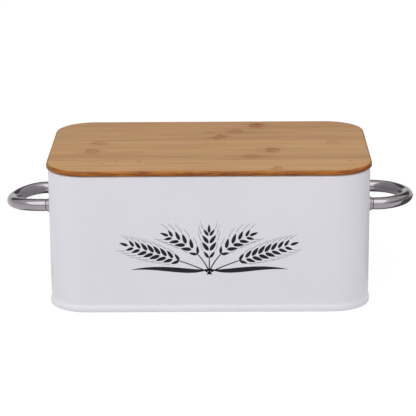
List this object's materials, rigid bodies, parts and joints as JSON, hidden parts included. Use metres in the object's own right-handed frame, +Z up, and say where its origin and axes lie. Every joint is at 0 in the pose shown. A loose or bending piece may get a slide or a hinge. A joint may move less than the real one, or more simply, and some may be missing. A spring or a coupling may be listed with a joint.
{
  "type": "bread box",
  "caption": "Rectangular sheet-steel bread box with rounded corners, a lift-off bamboo lid and a bowed tube handle at each end.",
  "frame": {"origin": "on the floor under the middle of the tub", "axes": "+X along the box to its right-hand handle, the front faces -Y, +Z up"},
  "size_m": [0.4268, 0.2038, 0.1485],
  "materials": {
    "painted_steel": "smooth satin powder coat on steel sheet, pale cool grey-white",
    "bamboo": "laminated bamboo strips about 25 mm wide, lightly oiled, satin",
    "polished_gunmetal": "polished dark nickel plate",
    "zinc_plated_steel": "bright zinc plate"
  },
  "bodies": {
    "tub": {"tub_shell": "painted_steel", "floor_pan": "painted_steel", "left_handle_tube": "polished_gunmetal", "right_handle_tube": "polished_gunmetal", "left_front_ferrule": "polished_gunmetal", "left_back_ferrule": "polished_gunmetal", "right_front_ferrule": "polished_gunmetal", "right_back_ferrule": "polished_gunmetal", "left_front_threaded_plug": "zinc_plated_steel", "left_back_threaded_plug": "zinc_plated_steel", "right_front_threaded_plug": "zinc_plated_steel", "right_back_threaded_plug": "zinc_plated_steel", "left_front_washer": "zinc_plated_steel", "left_back_washer": "zinc_plated_steel", "right_front_washer": "zinc_plated_steel", "right_back_washer": "zinc_plated_steel", "left_front_screw": "zinc_plated_steel", "left_back_screw": "zinc_plated_steel", "right_front_screw": "zinc_plated_steel", "right_back_screw": "zinc_plated_steel"},
    "lid": {"lid_board": "bamboo"}
  },
  "joints": [
    {"name": "lid_lift", "type": "slide", "parent": "tub", "child": "lid", "axis": [0, 0, 1], "range_m": [0, 0.15]}
  ]
}
